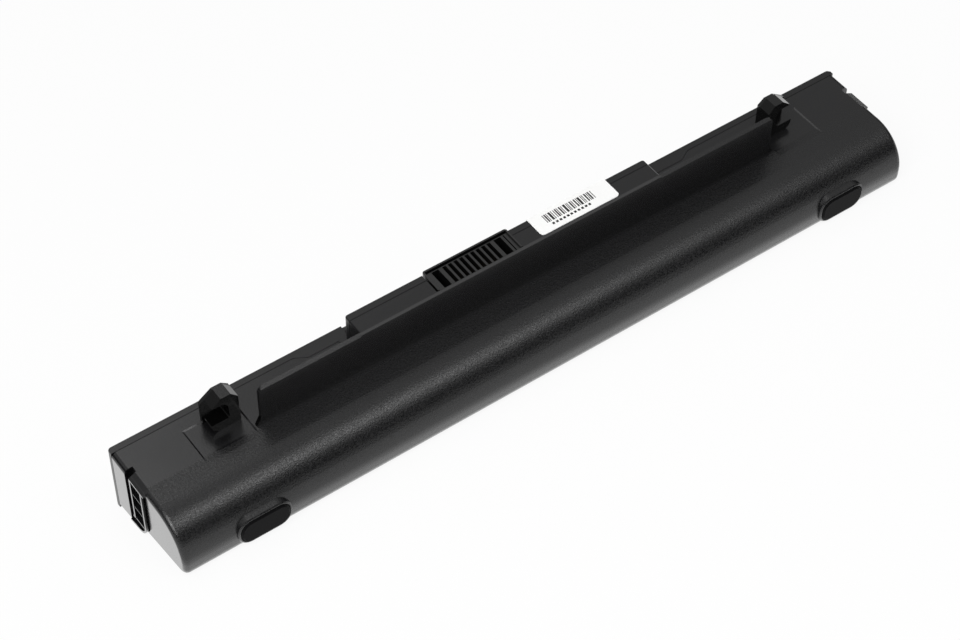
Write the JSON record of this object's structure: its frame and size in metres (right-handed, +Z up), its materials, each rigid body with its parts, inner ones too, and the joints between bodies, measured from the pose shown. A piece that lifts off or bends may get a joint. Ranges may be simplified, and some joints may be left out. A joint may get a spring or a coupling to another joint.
{
  "type": "laptop battery",
  "caption": "Clip-on laptop battery: a D-shaped bar with a fin, connector block, mirrored C hooks, end guides and rubber feet; it supplies and locks to the computer's rear edge.",
  "frame": {"origin": "middle of the flat base, on the surface the pack rests on", "axes": "+X along the bar, +Z up from the base, -Y towards the rounded nose and its rubber feet; the seat, fin, connector and hooks lean back 10 degrees from +Z"},
  "size_m": [0.27, 0.0431, 0.0396],
  "materials": {
    "foam_tape": "double-sided foam tape",
    "satin_black_plastic": "smooth satin",
    "ceramic_tan": "fired ceramic",
    "cell_sleeve": "shrunk sleeve",
    "chip_black": "moulded package",
    "board_green": "solder mask over glass fibre",
    "connector_plastic": "smooth satin",
    "grey_foam": "soft foam",
    "nickel_strip": "bare rolled nickel",
    "textured_black_plastic": "fine spark-eroded texture on the nose, smooth satin on the seat",
    "insulating_paper": "fish paper",
    "label_paper": "matte paper",
    "wire_black": "insulated lead",
    "wire_red": "insulated lead",
    "black_rubber": "matte",
    "resistor_steel": "bare alloy",
    "contact_metal": "thin gold plating",
    "fuse_white": "ceramic body",
    "thermistor_glaze": "epoxy bead"
  },
  "bodies": {
    "root": {"adhesive_strip_1": "foam_tape", "adhesive_strip_2": "foam_tape", "adhesive_strip_3": "foam_tape", "adhesive_strip_4": "foam_tape", "back_cover": "satin_black_plastic", "capacitor_1": "ceramic_tan", "capacitor_2": "ceramic_tan", "capacitor_3": "ceramic_tan", "capacitor_4": "ceramic_tan", "cell_1": "cell_sleeve", "cell_2": "cell_sleeve", "cell_3": "cell_sleeve", "cell_4": "cell_sleeve", "charge_mosfet": "chip_black", "circuit_board": "board_green", "connector_housing": "connector_plastic", "discharge_mosfet": "chip_black", "end_foam_left": "grey_foam", "end_foam_right": "grey_foam", "end_tab_left": "nickel_strip", "end_tab_right": "nickel_strip", "front_shell": "textured_black_plastic", "gauge_chip": "chip_black", "insulator_ring_1": "insulating_paper", "insulator_ring_2": "insulating_paper", "insulator_ring_3": "insulating_paper", "insulator_ring_4": "insulating_paper", "link_tab_1": "nickel_strip", "link_tab_2": "nickel_strip", "link_tab_3": "nickel_strip", "paper_label": "label_paper", "power_wire_left": "wire_black", "power_wire_right": "wire_red", "rubber_foot_left": "black_rubber", "rubber_foot_right": "black_rubber", "sense_resistor": "resistor_steel", "terminal_1": "contact_metal", "terminal_2": "contact_metal", "terminal_3": "contact_metal", "terminal_4": "contact_metal", "terminal_5": "contact_metal", "terminal_6": "contact_metal", "terminal_7": "contact_metal", "terminal_8": "contact_metal", "terminal_9": "contact_metal", "thermal_fuse": "fuse_white", "thermistor": "thermistor_glaze"}
  },
  "joints": []
}
